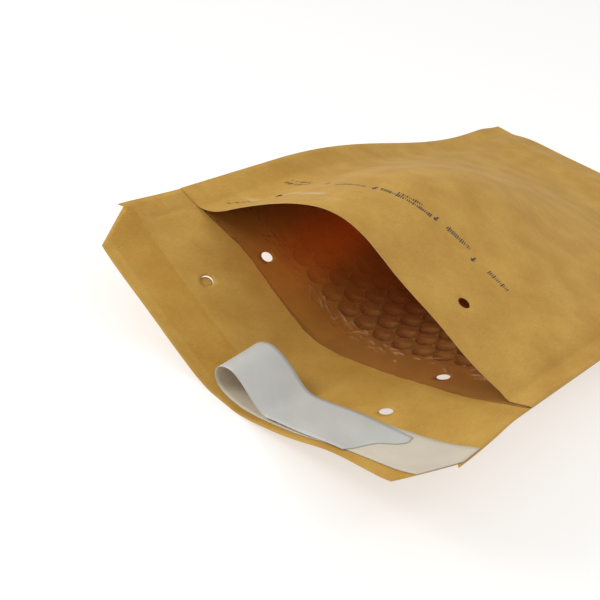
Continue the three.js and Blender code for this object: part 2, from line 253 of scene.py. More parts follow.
def read(panel, s, v):
    """Reads a traced panel between its rows and stations."""
    i = np.clip(s, 0, 1) * (len(STATIONS) - 1)
    j = np.clip(v, 0, LENGTH)
    i0 = np.minimum(i.astype(int), len(STATIONS) - 2)
    j0 = np.minimum(j.astype(int), len(ROWS) - 2)
    i, j = i - i0, j - j0
    near = panel[:, j0, i0] * (1 - i) + panel[:, j0, i0 + 1] * i
    far = panel[:, j0 + 1, i0] * (1 - i) + panel[:, j0 + 1, i0 + 1] * i
    return near * (1 - j) + far * j


def back_at(s, v, depth):
    """A point of the back panel or the flap, in mm from the mouth line."""
    x, z, turn = read(back_panel, s, v)
    side = TOOTH_LIFT * (1 - smooth(np.minimum(s, 1 - s), 0, 0.1))
    lift = (side - FLAP_DROOP * smooth(s, 0.75, 1)) * smooth(-v, 0, TOOTH_AT)
    return np.stack([x - depth * np.sin(turn), v, z + depth * np.cos(turn) + lift], -1)


def front_at(s, v, depth):
    """A point of the front panel, in mm from the mouth line."""
    at_lip = LIP_SETBACK + LIP_RECESS * 4 * s * (1 - s) + LIP_SKEW * s
    y = v + at_lip * (1 - v / LENGTH)
    x, z, turn = read(front_panel, s, y)
    return np.stack([x + depth * np.sin(turn), y, z - depth * np.cos(turn)], -1)


def form(x, w, depth):
    """Flat points, in mm, to their places in the frame, in metres."""
    x, w, layer = np.broadcast_arrays(np.asarray(x, float), w, depth)
    depth = layer + relief(x, w)
    low = back_at(x / WIDTH, np.minimum(w, LENGTH), depth)
    high = front_at(x / WIDTH, np.minimum(WEB_END - w, LENGTH), depth)
    turn = math.pi * np.clip((w - LENGTH) / FOLD, 0, 1)[..., None]
    point = (low + high) / 2 - (high - low) / 2 * np.cos(turn)
    half = np.linalg.norm(high - low, axis=-1) / 2
    point[..., 1] += half * np.sin(turn[..., 0])
    lowest = np.where(w <= LENGTH, layer, 0)
    point[..., 2] = np.maximum(point[..., 2], lowest)
    return point * MM + (0, mouth_y, 0)


def room(x, w):
    """The distance between the two panels in mm, at a point of either."""
    s, v = x / WIDTH, np.clip(np.minimum(w, WEB_END - w), 0, LENGTH)
    apart = front_at(s, v, 0) - back_at(s, v, 0)
    return np.hypot(apart[..., 0], apart[..., 2])


middle = room(np.array([100.0]), np.array([0.0, 120.0, 250.0]))
print("room in the middle, mm:", middle.round(1))

# %% [markdown]
# ## Camera, light and floor
#
# The camera looks down over the flap into the open mouth, turned a little
# about its own line of sight. The light is soft and comes from all round, as
# in a white studio with a glowing table. A broad lamp stands at the front left
# and a weaker one behind on the right. Kraft paper lets some warm light through,
# so the inside of the pocket is never black: two weak orange lamps under the
# front panel, which the camera does not see, stand for that.
#
# The renderer follows a ray through a set number of transparent layers and
# then gives up, which looks black. Deep in the pocket a ray crosses many
# surfaces of clear film, so that number is raised.

# %% Put an object in the scene
def put(name, data):
    """A new object at the origin, linked to the scene."""
    thing = bpy.data.objects.new(name, data)
    bpy.context.scene.collection.objects.link(thing)
    return thing


print("objects go into:", bpy.context.scene.collection.name)

# %% Camera
AZIMUTH, PITCH, ROLL = (math.radians(a) for a in (39.25, 33.93, 10.31))
CAMERA_FROM_MOUTH = (0.1968, -0.2572, 0.2440)
FOCAL_LENGTH, SENSOR_WIDTH = 58.06, 36
from_mouth = Vector((0, mouth_y, 0))

ahead = Vector((
    -math.sin(AZIMUTH) * math.cos(PITCH),
    math.cos(AZIMUTH) * math.cos(PITCH),
    -math.sin(PITCH),
))
level = Vector((math.cos(AZIMUTH), math.sin(AZIMUTH), 0))
upright = level.cross(ahead)
side_axis = math.cos(ROLL) * level + math.sin(ROLL) * upright
up_axis = math.cos(ROLL) * upright - math.sin(ROLL) * level

camera_data = bpy.data.cameras.new("camera")
camera_data.lens = FOCAL_LENGTH
camera_data.sensor_width = SENSOR_WIDTH
camera_data.clip_start = 0.01
camera = put("camera", camera_data)
turned = Matrix((side_axis, up_axis, -ahead)).transposed().to_4x4()
place = Vector(CAMERA_FROM_MOUTH) + from_mouth
camera.matrix_world = Matrix.Translation(place) @ turned
bpy.context.scene.camera = camera
print("camera at", [round(c, 3) for c in place])


# %% A short way to add nodes
def add(tree, kind, inputs=None, **settings):
    """Adds a node. An input that is another node's socket is linked."""
    node = tree.nodes.new(kind)
    for key, value in settings.items():
        setattr(node, key, value)
    for key, value in (inputs or {}).items():
        if isinstance(value, bpy.types.NodeSocket):
            tree.links.new(value, node.inputs[key])
        else:
            node.inputs[key].default_value = value
    return node


def math_node(tree, operation, *values, clamp=False):
    """A Math node on sockets or numbers. Returns its output socket."""
    inputs = dict(enumerate(values))
    node = add(tree, "ShaderNodeMath", inputs, operation=operation, use_clamp=clamp)
    return node.outputs[0]


def new_material(name):
    """A material with an empty node tree."""
    material = bpy.data.materials.new(name)
    material.use_nodes = True
    material.node_tree.nodes.clear()
    return material, material.node_tree


def paint(tree, inputs):
    """Ends a material in one Principled shader."""
    shader = add(tree, "ShaderNodeBsdfPrincipled", inputs)
    add(tree, "ShaderNodeOutputMaterial", {"Surface": shader.outputs[0]})


print("node helpers ready")

# %% World and lamps
WORLD_STRENGTH = 0.73
TRANSPARENT_LAYERS = 32
WHITE, WARM = (1, 1, 1), (1, 0.23, 0.08)
# Each lamp's name, place, aim, width and length in metres, and power in watts
STUDIO_LAMPS = [
    ("key_lamp", (-0.38, -0.42, 0.30), (0, -0.10, 0.02), (0.22, 0.22), 1.4),
    ("rear_lamp", (0.30, 0.20, 0.50), (0, -0.10, 0.02), (0.25, 0.25), 0.6),
]
# The same, with places and aims from the middle of the mouth line
POCKET_LAMPS = [
    ("glow_through_front", (0.004, 0.074, 0.0235), (0.004, 0.0717, 0.0), (0.12, 0.13), 0.0066),
    ("glow_through_side", (-0.034, 0.050, 0.030), (-0.070, 0.042, 0.021), (0.080, 0.018), 0.0026),
]

world = bpy.data.worlds.new("white_studio")
world.use_nodes = True
background = world.node_tree.nodes["Background"].inputs
background["Color"].default_value = (*WHITE, 1)
background["Strength"].default_value = WORLD_STRENGTH
bpy.context.scene.world = world
bpy.context.scene.view_settings.view_transform = "Standard"
bpy.context.scene.cycles.transparent_max_bounces = TRANSPARENT_LAYERS


def area_lamp(name, at, aim, size, power, colour):
    """A rectangular lamp that faces the point it aims at."""
    lamp = bpy.data.lights.new(name, "AREA")
    lamp.shape, lamp.energy, lamp.color = "RECTANGLE", power, colour
    lamp.size, lamp.size_y = size
    holder = put(name, lamp)
    facing = (aim - at).to_track_quat("-Z", "Y").to_matrix().to_4x4()
    holder.matrix_world = Matrix.Translation(at) @ facing
    return holder


for name, at, aim, size, power in STUDIO_LAMPS:
    area_lamp(name, Vector(at), Vector(aim), size, power, WHITE)
for name, at, aim, size, power in POCKET_LAMPS:
    at, aim = Vector(at) + from_mouth, Vector(aim) + from_mouth
    lamp = area_lamp(name, at, aim, size, power, WARM)
    lamp.visible_camera = False
    lamp.visible_glossy = False
print(len(STUDIO_LAMPS), "studio lamps,", len(POCKET_LAMPS), "pocket lamps, a white world")

# %% Floor
FLOOR_REACH = 6
JUST_BELOW = -0.0001
floor_mesh = bpy.data.meshes.new("floor")
floor_corners = [
    (x * FLOOR_REACH, y * FLOOR_REACH, JUST_BELOW)
    for x, y in ((-1, -1), (1, -1), (1, 1), (-1, 1))
]
floor_mesh.from_pydata(floor_corners, [], [(0, 1, 2, 3)])
floor = put("floor", floor_mesh)
floor_paint, tree = new_material("pale_floor")
paint(tree, {
    "Base Color": (0.50, 0.49, 0.465, 1), "Roughness": 0.9, "Specular IOR Level": 0.1,
    "Emission Color": (*WHITE, 1), "Emission Strength": 0.55,
})
floor.data.materials.append(floor_paint)
print("floor", 2 * FLOOR_REACH, "m across, material:", floor_paint.name)

# %% [markdown]
# ## Turning a flat cut into a thin solid
#
# A flat outline with holes is filled with triangles by Blender's constrained
# Delaunay function: it keeps every outline edge, and uses the grid of points
# given inside. The triangles are used twice, for the inner and the outer
# face, and narrow walls close them along every cut edge. The two faces and the
# walls may each have a material, because a cut edge looks different.

# %% Outlines, and what lies inside or near them
def ring(centre, radius, count=28):
    """The outline of a round hole."""
    angle = np.linspace(0, 2 * math.pi, count, endpoint=False)
    return np.stack([np.cos(angle), np.sin(angle)], -1) * radius + centre


def subdivided(corners, step):
    """A closed outline with extra points, none further apart than step."""
    corners = np.array(corners, float)
    sides = []
    for a, b in zip(corners, np.roll(corners, -1, axis=0)):
        count = max(1, math.ceil(np.linalg.norm(b - a) / step))
        sides.append(a + (b - a) * np.linspace(0, 1, count, endpoint=False)[:, None])
    return np.vstack(sides)


def inside(points, outline):
    """Which points lie inside a closed outline."""
    x, y = points[:, :1], points[:, 1:]
    ax, ay = outline.T
    bx, by = np.roll(outline, -1, axis=0).T
    crosses = (ay > y) != (by > y)
    rise = np.where(by == ay, 1, by - ay)
    return (crosses & (x < (bx - ax) * (y - ay) / rise + ax)).sum(1) % 2 == 1


def near(points, outline, distance):
    """Which points lie nearer to a closed outline than a distance."""
    gap = np.full(len(points), np.inf)
    for a, b in zip(outline, np.roll(outline, -1, axis=0)):
        along = np.clip((points - a) @ (b - a) / max((b - a) @ (b - a), 1e-9), 0, 1)
        foot = a + along[:, None] * (b - a)
        gap = np.minimum(gap, np.linalg.norm(points - foot, axis=1))
    return gap < distance


print("outline helpers ready")


# %% Fill a flat outline with triangles
def filled(outline, holes, grid, clearance=0.7):
    """Flat points and triangles of an outline with holes."""
    keep = inside(grid, outline) & ~near(grid, outline, clearance)
    for hole in holes:
        keep &= ~inside(grid, hole) & ~near(grid, hole, clearance)
    loops = [outline, *holes]
    edges, first = [], 0
    for loop in loops:
        count = len(loop)
        edges += [(first + k, first + (k + 1) % count) for k in range(count)]
        first += count
    flat = np.vstack([*loops, grid[keep]])
    found = delaunay_2d_cdt([Vector(p) for p in flat], edges, [], 0, 1e-5, False)
    flat = np.array([tuple(p) for p in found[0]])
    triangles = np.array([list(f) for f in found[2]])
    centres = flat[triangles].mean(axis=1)
    keep = inside(centres, outline)
    for hole in holes:
        keep &= ~inside(centres, hole)
    return flat, triangles[keep]


def lines(x_values, w_values):
    """The crossings of two sets of grid lines."""
    return np.stack(np.meshgrid(x_values, w_values), -1).reshape(-1, 2)


print("flat filling ready")


# %% Close two faces into a solid
def thin_solid(name, flat, triangles, outer, inner, materials):
    """A closed mesh between two faces, with the flat cut as its UV map.

    The materials are those of the inner face, the outer face and the walls.
    """
    count = len(flat)
    edges = np.vstack([triangles[:, [0, 1]], triangles[:, [1, 2]], triangles[:, [2, 0]]])
    forward = edges[:, 0] * count + edges[:, 1]
    rim = edges[~np.isin(forward, edges[:, 1] * count + edges[:, 0])]
    a, b = rim.T
    walls = np.stack([a, a + count, b + count, b], -1)
    faces = triangles.tolist() + (triangles[:, ::-1] + count).tolist() + walls.tolist()
    mesh = bpy.data.meshes.new(name)
    mesh.from_pydata(np.vstack([inner, outer]).tolist(), [], faces)
    slots = list(dict.fromkeys(materials))
    for material in slots:
        mesh.materials.append(material)
    kind = np.repeat([0, 1, 2], [len(triangles), len(triangles), len(walls)])
    mesh.polygons.foreach_set("use_smooth", kind < 2)
    slot_of_kind = np.array([slots.index(material) for material in materials], np.int32)
    mesh.polygons.foreach_set("material_index", slot_of_kind[kind])
    corner = np.zeros(len(mesh.loops), np.int32)
    mesh.loops.foreach_get("vertex_index", corner)
    uv = mesh.uv_layers.new(name="flat_cut")
    uv.data.foreach_set("uv", (flat[corner % count] * MM).ravel())
    mesh.validate()
    mesh.update()
    print(name, "has", len(mesh.polygons), "faces")
    return put(name, mesh)


def write_numbers(piece, name, values):
    """Gives each point of a thin solid a number, the same on both its faces."""
    numbers = piece.data.attributes.new(name, "FLOAT", "POINT")
    numbers.data.foreach_set("value", np.tile(values, 2).astype(np.float32))


# %% [markdown]
# ## Kraft paper
#
# Kraft paper is golden brown, and never one brown: it has cloudy patches a
# few millimetres across, fine fibres lying mostly along the web, and small
# dark and light flecks. It is matt with a faint polish from the rollers. All
# of this is built from noise at several scales, read from the sheet's own flat
# map, so the pattern goes round the folds with the paper. Over the creases
# behind the lip the sheet carries a number called "creased" that mixes in a
# pale tone: a painted sheen for the light that the crease ridges catch.

# %% Helpers for patterns and colours
def flat_map(tree, across=1.0, along=1.0):
    """The flat cut's own coordinates in mm, each times its own factor."""
    uv = add(tree, "ShaderNodeUVMap", uv_map="flat_cut")
    return add(tree, "ShaderNodeMapping", {
        "Vector": uv.outputs[0], "Scale": (across / MM, along / MM, 1),
    }).outputs[0]


def object_map(tree):
    """The piece's own coordinates, in metres."""
    return add(tree, "ShaderNodeTexCoord").outputs["Object"]


def noise(tree, place, scale, detail, roughness):
    """Cloudy noise. Returns its value socket."""
    return add(tree, "ShaderNodeTexNoise", {
        "Vector": place, "Scale": scale, "Detail": detail, "Roughness": roughness,
    }).outputs[0]


def ramp(tree, value, stops):
    """A colour ramp through the stops given. Returns its colour socket."""
    node = add(tree, "ShaderNodeValToRGB", {0: value})
    band = node.color_ramp
    while len(band.elements) < len(stops):
        band.elements.new(0.5)
    for element, (position, colour) in zip(band.elements, stops):
        element.position = position
        element.color = (*colour, 1)
    return node.outputs[0]


def mixed(tree, blend, factor, a, b):
    """Two colours mixed or multiplied. Sockets 0, 6 and 7 are the factor and colours."""
    inputs = {0: factor, 6: a, 7: b}
    return add(tree, "ShaderNodeMix", inputs, data_type="RGBA", blend_type=blend).outputs[2]


def attribute(tree, name):
    """A number that the mesh carries at each of its points."""
    return add(tree, "ShaderNodeAttribute", attribute_name=name).outputs["Fac"]


def bumped(tree, height, strength, distance):
    """A normal that follows a height. The distance is in metres."""
    return add(tree, "ShaderNodeBump", {
        "Strength": strength, "Distance": distance, "Height": height,
    }).outputs[0]


def grey(value):
    return (value, value, value)


print("colour helpers ready")

# %% Kraft paper material
# The pale tone of the painted sheen on the crease ridges behind the lip
CREASE_SHEEN_TONE = (0.62, 0.53, 0.36, 1)
kraft, tree = new_material("kraft_paper")
clouds = noise(tree, flat_map(tree), 0.055, 4, 0.55)
tone = ramp(tree, clouds, [(0.3, (0.455, 0.246, 0.044)), (0.7, (0.55, 0.326, 0.070))])
fibres = noise(tree, flat_map(tree, across=1.6, along=0.28), 1.1, 3, 0.6)
fibre_tone = ramp(tree, fibres, [(0.3, grey(0.86)), (0.7, grey(1.1))])
tone = mixed(tree, "MULTIPLY", 0.55, tone, fibre_tone)
flecks = noise(tree, flat_map(tree), 0.9, 2, 0.5)
fleck_tone = ramp(tree, flecks, [
    (0.28, (0.72, 0.66, 0.55)), (0.34, WHITE), (0.68, WHITE), (0.76, (1.12, 1.12, 1.1)),
])
tone = mixed(tree, "MULTIPLY", 0.6, tone, fleck_tone)
# Painted sheen: the crease ridges behind the lip are mixed towards a pale tone
tone = mixed(tree, "MIX", attribute(tree, "creased"), tone, CREASE_SHEEN_TONE)
grain = noise(tree, flat_map(tree), 3.0, 3, 0.6)
height = math_node(tree, "ADD", math_node(tree, "MULTIPLY", fibres, 0.6), grain)
paint(tree, {
    "Base Color": tone,
    "Roughness": math_node(tree, "MULTIPLY_ADD", clouds, 0.16, 0.60),
    "Specular IOR Level": 0.2,
    "Normal": bumped(tree, height, 0.12, 0.0002),
})

# Cut edges are paler than the faces: partly the bare fibres of the cut, and partly a painted
# highlight along the rim of the lip
cut_edge, tree = new_material("kraft_cut_edge")
fluff = noise(tree, flat_map(tree), 1.5, 3, 0.7)
paint(tree, {
    "Base Color": ramp(tree, fluff, [(0.3, (0.50, 0.32, 0.12)), (0.7, (0.62, 0.44, 0.2))]),
    "Roughness": 0.9,
})
print("materials:", kraft.name, cut_edge.name)

# %% [markdown]
# ## The kraft sheet
#
# This is the cut: a long rectangle with the die-cut corners of the flap and
# six punched holes, two each in the flap, the back and the front. The grid is
# 2.5 mm, finer along the bottom fold and beside the side creases, where the
# paper turns quickly, and 1 mm where the lip is creased.

# %% The kraft sheet's outline and holes
GRID = 2.5
web_outline = subdivided([
    (CORNER_CUT, -FLAP), (WIDTH - CORNER_CUT, -FLAP), (WIDTH - NOTCH_DEPTH, -NOTCH_AT),
    (WIDTH, -TOOTH_AT), (WIDTH, WEB_END), (0, WEB_END), (0, -TOOTH_AT),
    (NOTCH_DEPTH, -NOTCH_AT),
], GRID)
hole_rows = [-HOLE_FROM_MOUTH, HOLE_FROM_MOUTH]
hole_centres = [(x, w) for w in hole_rows for x in (HOLE_FROM_SIDE, WIDTH - HOLE_FROM_SIDE)]
hole_centres += [(x, WEB_END - v) for x, v in FRONT_HOLES]
web_holes = [ring(centre, HOLE_RADIUS) for centre in hole_centres]
print("outline of", len(web_outline), "points and", len(web_holes), "holes")

# %% The kraft sheet
CREASED_TO_X, CREASED_TO_V = 90, 36
# The tallest crease, in mm, and the strongest painted sheen that it gets
TALLEST_CREASE, BRIGHTEST_CREASE_SHEEN = 0.75, 0.55
side_lines = [7.0, 8.4, 9.3, 10.0, 10.7, 11.6, 13.0, 14.5]
across = np.unique([*np.arange(GRID, 199, GRID), *side_lines, *[WIDTH - x for x in side_lines]])
fold_lines = LENGTH + FOLD * np.linspace(-0.6, 1.6, 12)
along = np.unique([*np.arange(-50, WEB_END, GRID), *fold_lines])
web_grid = lines(across, along)
near_lip = WEB_END - web_grid[:, 1] < CREASED_TO_V
lip_zone = near_lip & (web_grid[:, 1] > LENGTH) & (web_grid[:, 0] < CREASED_TO_X)
lip_grid = lines(np.arange(11, CREASED_TO_X, 1.0), WEB_END - np.arange(2, CREASED_TO_V, 1.0))
web_grid = np.vstack([web_grid[~lip_zone], lip_grid])
flat, triangles = filled(web_outline, web_holes, web_grid)
kraft_sheet = thin_solid(
    "kraft_sheet", flat, triangles,
    form(*flat.T, 0.0), form(*flat.T, PAPER), [kraft, kraft, cut_edge],
)
# The painted sheen grows with the height of each crease behind the lip
crease_sheen_share = lip_creases(flat[:, 0], WEB_END - flat[:, 1]) / TALLEST_CREASE
write_numbers(kraft_sheet, "creased", np.clip(crease_sheen_share, 0, 1) * BRIGHTEST_CREASE_SHEEN)

# %% [markdown]
# A punch does not always cut cleanly. In one flap hole the paper disc still
# hangs on by one side and has been pushed down, so only a crescent is open.

# %% The hanging paper disc
HINGE_TOWARDS = math.radians(-51)
DISC_DROP = math.radians(11)
DISC_PLAY = 0.03
disc_centre = np.array(hole_centres[0])
disc_steps = np.arange(-3, 3.1, 0.8)
disc_grid = lines(disc_steps, disc_steps) + disc_centre
flat, triangles = filled(ring(disc_centre, HOLE_RADIUS - DISC_PLAY), [], disc_grid, 0.4)
hinge = np.array([math.cos(HINGE_TOWARDS), math.sin(HINGE_TOWARDS)])
from_hinge = HOLE_RADIUS - (flat - disc_centre) @ hinge
drop = -np.sin(DISC_DROP) * from_hinge
pulled = flat + hinge * (from_hinge * (1 - math.cos(DISC_DROP)))[:, None]
hanging_disc = thin_solid(
    "hanging_disc", flat, triangles,
    form(*pulled.T, drop), form(*pulled.T, drop + PAPER), [kraft, kraft, cut_edge],
)

# %% [markdown]
# ## Clear film
#
# Polyethylene film is clear and glossy, a little milky, and where it lies on
# paper it darkens and warms what is under it, like water. So the material is
# mostly a Transparent shader with a warm tint. A Layer Weight adds gloss
# where the film is seen at a low angle, and a cloudy noise adds the milkiness.
# Where wrinkles and the film between bubbles catch the light, the mesh carries
# a number read here, 0 on smooth film and up to 1 on a sharp wrinkle, that
# mixes in a pale tone and more gloss: a painted glint.
#
# The bubbles shine where light from the mouth reaches them. Towards the deep
# left of the pocket hardly any does, so their gloss and tint fade that way,
# along a line that leans to the left as it goes in.

# %% Film material
# The gloss and the pale tone of the painted glints on wrinkles and between bubbles
GLINT_GLOSS = 0.34
PAINTED_GLINT_TONE = (0.90, 0.66, 0.36)
# Where the domes are most faded and where they are full, in metres from the
# middle, and how far that line leans for each metre further in
FADED_UP_TO, FULL_FROM = 0.0, 0.055
FADE_LEAN = -0.7


def partly_clear(tree, gloss_share, tint, gloss_inputs):
    """Ends a material in a Transparent shader with a share of a Principled one."""
    clear = add(tree, "ShaderNodeBsdfTransparent", {"Color": tint})
    gloss = add(tree, "ShaderNodeBsdfPrincipled", gloss_inputs)
    both = add(tree, "ShaderNodeMixShader", {
        0: gloss_share, 1: clear.outputs[0], 2: gloss.outputs[0],
    })
    add(tree, "ShaderNodeOutputMaterial", {"Surface": both.outputs[0]})


def film_paint(name, tint, base, edge_gloss, milky, fading=0.0):
    """Film, glossier at grazing angles. On the deep left it fades by a given share."""
    material, tree = new_material(name)
    place = object_map(tree)
    # Painted glints: a number on the mesh that mixes in a pale tone and more gloss
    painted_glint = attribute(tree, "painted_glint")
    milky_share = math_node(tree, "MULTIPLY", noise(tree, place, 90, 4, 0.6), milky)
    glint_and_haze_share = math_node(tree, "MULTIPLY_ADD", painted_glint, GLINT_GLOSS, milky_share)
    fresnel = add(tree, "ShaderNodeLayerWeight", {"Blend": 0.22}).outputs["Fresnel"]
    gloss_share = math_node(tree, "MULTIPLY_ADD", fresnel, edge_gloss, glint_and_haze_share, clamp=True)
    x, y, _ = add(tree, "ShaderNodeSeparateXYZ", {0: place}).outputs
    kept = add(tree, "ShaderNodeMapRange", {
        "Value": math_node(tree, "MULTIPLY_ADD", y, FADE_LEAN, x),
        "From Min": FADED_UP_TO, "From Max": FULL_FROM, "To Min": 1 - fading,
    }).outputs[0]
    ripple = noise(tree, place, 220, 2, 0.5)
    tint_here = mixed(tree, "MIX", kept, (*WHITE, 1), (*tint, 1))
    partly_clear(tree, math_node(tree, "MULTIPLY", gloss_share, kept), tint_here, {
        "Base Color": ramp(tree, painted_glint, [(0.0, base), (1.0, PAINTED_GLINT_TONE)]),
        "Roughness": 0.2, "Specular IOR Level": 0.6,
        "Normal": bumped(tree, ripple, 0.25, 0.0006),
    })
    return material


film_material = film_paint("bubble_film", (0.985, 0.925, 0.875), (0.36, 0.19, 0.07), 0.42, 0.05)
dome_material = film_paint(
    "bubble_domes", (0.994, 0.975, 0.955), (0.46, 0.24, 0.07), 0.48, 0.06, fading=0.92
)

film_edge, tree = new_material("film_cut_edge")
frayed = noise(tree, object_map(tree), 150, 3, 0.6)
partly_clear(tree, math_node(tree, "MULTIPLY", frayed, 0.12), (0.98, 0.94, 0.90, 1), {
    "Base Color": (0.55, 0.36, 0.16, 1), "Roughness": 0.4,
})
print("materials:", film_material.name, dome_material.name, film_edge.name)

# %% [markdown]
# ## The liner's flat film
#
# The film starts about 8 mm inside the mouth, with a cut that wanders a little.
# There the bubbles were crushed flat when it was glued, and where the flat
# band meets the full bubbles the film is gathered into long thin wrinkles.
# They are real ridges in the mesh, drawn with a fixed random seed.

# %% Wrinkles where the flat band ends
# The cut's distance from the mouth in mm, at fractions of the width
FILM_EDGE = [
    (0, 3), (.1, 4), (.19, 9.3), (.35, 8.6), (.46, 6.6), (.58, 10.4), (.7, 8.5), (.82, 7), (1, 7),
]
BAND_END = 26.5
FILM_INSET = 0.6
film_depth = PAPER + GLUE_LINE
draw = np.random.default_rng(7)
WRINKLES = 150
wrinkle_x = draw.uniform(14, 186, WRINKLES)
wrinkle_v = BAND_END + 1.2 * np.sin(wrinkle_x / 17) + draw.normal(0, 2.4, WRINKLES)
wrinkle_turn = np.radians(draw.normal(0, 24, WRINKLES))
wrinkle_long = draw.uniform(1.0, 4.5, WRINKLES)
wrinkle_wide = draw.uniform(0.35, 0.65, WRINKLES)
wrinkle_high = draw.uniform(0.10, 0.55, WRINKLES) * (0.45 + 0.55 * smooth(wrinkle_x, 50, 90))


def wrinkles(x, v):
    """The height of the tallest wrinkle at each point, in mm."""
    height = np.zeros_like(x)
    for k in range(WRINKLES):
        dx, dv = x - wrinkle_x[k], v - wrinkle_v[k]
        c, s = math.cos(wrinkle_turn[k]), math.sin(wrinkle_turn[k])
        along, off = dx * c + dv * s, dv * c - dx * s
        shape = np.exp(-(along / wrinkle_long[k]) ** 4 - (off / wrinkle_wide[k]) ** 2)
        height = np.maximum(height, wrinkle_high[k] * shape)
    return height


print(WRINKLES, "wrinkles near v =", BAND_END, "mm")

# %% The film's cut edge and grid
FINE_FROM, FINE_TO, FINE_STEP = 19, 37, 0.6
FILM_HOLE_WIDER = 0.12
edge_x = np.arange(FILM_INSET, WIDTH - FILM_INSET + 0.1, 2.0)
edge_x[-1] = WIDTH - FILM_INSET
wander = whole(FILM_EDGE, edge_x / WIDTH)
wander = np.convolve(np.pad(wander, 4, mode="edge"), np.full(9, 1 / 9), "valid")
wander += 0.12 * np.sin(edge_x * 0.57) + draw.normal(0, 0.06, len(edge_x))
back_edge = np.stack([edge_x, wander], -1)
front_edge = np.stack([edge_x, WEB_END - wander], -1)[::-1]
film_outline = subdivided(np.vstack([back_edge, front_edge]), 3.0)
film_holes = [ring(centre, HOLE_RADIUS + FILM_HOLE_WIDER) for centre in hole_centres[2:]]
coarse = lines(across, along)
coarse_v = np.minimum(coarse[:, 1], WEB_END - coarse[:, 1])
coarse = coarse[(coarse_v > FINE_TO) | (coarse_v < FINE_FROM)]
fine_v = np.arange(FINE_FROM + 0.2, FINE_TO, FINE_STEP)
fine = lines(np.arange(11, 189.5, 0.8), [*fine_v, *(WEB_END - fine_v)])
fine[:, 0] += np.where((fine[:, 1] / FINE_STEP).astype(int) % 2, 0.4, 0)
print("grid points:", len(coarse), "coarse and", len(fine), "fine")

# %% The flat film
# The wrinkle height in mm that gets the full painted glint, and how strong the
# painted glint is on the film between the bubbles on the right
FULL_GLINT_HEIGHT, GLINT_BETWEEN_BUBBLES = 0.42, 0.16
flat, triangles = filled(film_outline, film_holes, np.vstack([coarse, fine]), 0.5)
flat_v = np.minimum(flat[:, 1], WEB_END - flat[:, 1])
fixed = smooth(np.minimum(flat[:, 0], WIDTH - flat[:, 0]), SEAL + 1, SEAL + 4)
lift = wrinkles(flat[:, 0], flat_v) * fixed
liner_film = thin_solid(
    "liner_film", flat, triangles,
    form(*flat.T, film_depth + lift), form(*flat.T, film_depth + FILM + lift),
    [film_material, film_material, film_edge],
)
# Painted glint on the film between the bubbles on the right and on the wrinkles
web_glint = GLINT_BETWEEN_BUBBLES * smooth(flat_v, 26, 36) * smooth(flat[:, 0], 60, 110)
glint_share = np.maximum(np.clip(lift / FULL_GLINT_HEIGHT, 0, 1) ** 2, web_glint)
write_numbers(liner_film, "painted_glint", glint_share)
print("film whitened at", int((glint_share > 0.3).sum()), "of", len(flat), "points")

# %% [markdown]
# ## The bubbles
#
# Hundreds of equal bubbles in a honeycomb are a job for Geometry Nodes. The
# tree lays a grid of points in the flat, shifts every second row by half a
# pitch, puts one low dome of 44 faces on each point with a small random
# change of size, and turns the copies into real geometry. The result is taken
# as a plain mesh, and each of its points is then carried to its place inside
# the envelope, squeezed where the two panels come close.

# %% Build and run a geometry tree
def node_group(name, named_inputs):
    """An empty geometry tree with named inputs, and their sockets inside it."""
    tree = bpy.data.node_groups.new(name, "GeometryNodeTree")
    tree.interface.new_socket("Geometry", in_out="INPUT", socket_type="NodeSocketGeometry")
    for label, kind in named_inputs:
        tree.interface.new_socket(label, in_out="INPUT", socket_type=kind)
    tree.interface.new_socket("Geometry", in_out="OUTPUT", socket_type="NodeSocketGeometry")
    return tree, tree.nodes.new("NodeGroupInput").outputs


def run_nodes(tree, name, values):
    """Runs a tree and returns what it makes as a plain mesh, and its points."""
    holder = put(name, bpy.data.meshes.new(name))
    modifier = holder.modifiers.new("nodes", "NODES")
    modifier.node_group = tree
    for item in tree.interface.items_tree:
        if item.in_out == "INPUT" and item.name in values:
            modifier[item.identifier] = values[item.name]
    evaluated = holder.evaluated_get(bpy.context.evaluated_depsgraph_get())
    made = bpy.data.meshes.new_from_object(evaluated)
    bpy.data.objects.remove(holder)
    made.name = name
    points = np.zeros(3 * len(made.vertices))
    made.vertices.foreach_get("co", points)
    return made, points.reshape(-1, 3)


def xyz(tree, x=0.0, y=0.0, z=0.0):
    """Three numbers or sockets joined into one vector socket."""
    return add(tree, "ShaderNodeCombineXYZ", {0: x, 1: y, 2: z}).outputs[0]


def random_size(tree, given):
    """A random number from 1 less the unevenness up to 1, one for each copy.

    Sockets 2 and 3 are its least and greatest value, and output 1 is the number.
    """
    least = math_node(tree, "SUBTRACT", 1, given["Unevenness"])
    return add(tree, "FunctionNodeRandomValue", {
        2: least, 3: 1.0, "Seed": given["Seed"],
    }, data_type="FLOAT").outputs[1]


FLOAT, INTEGER, MATERIAL = "NodeSocketFloat", "NodeSocketInt", "NodeSocketMaterial"
print("tree helpers ready")

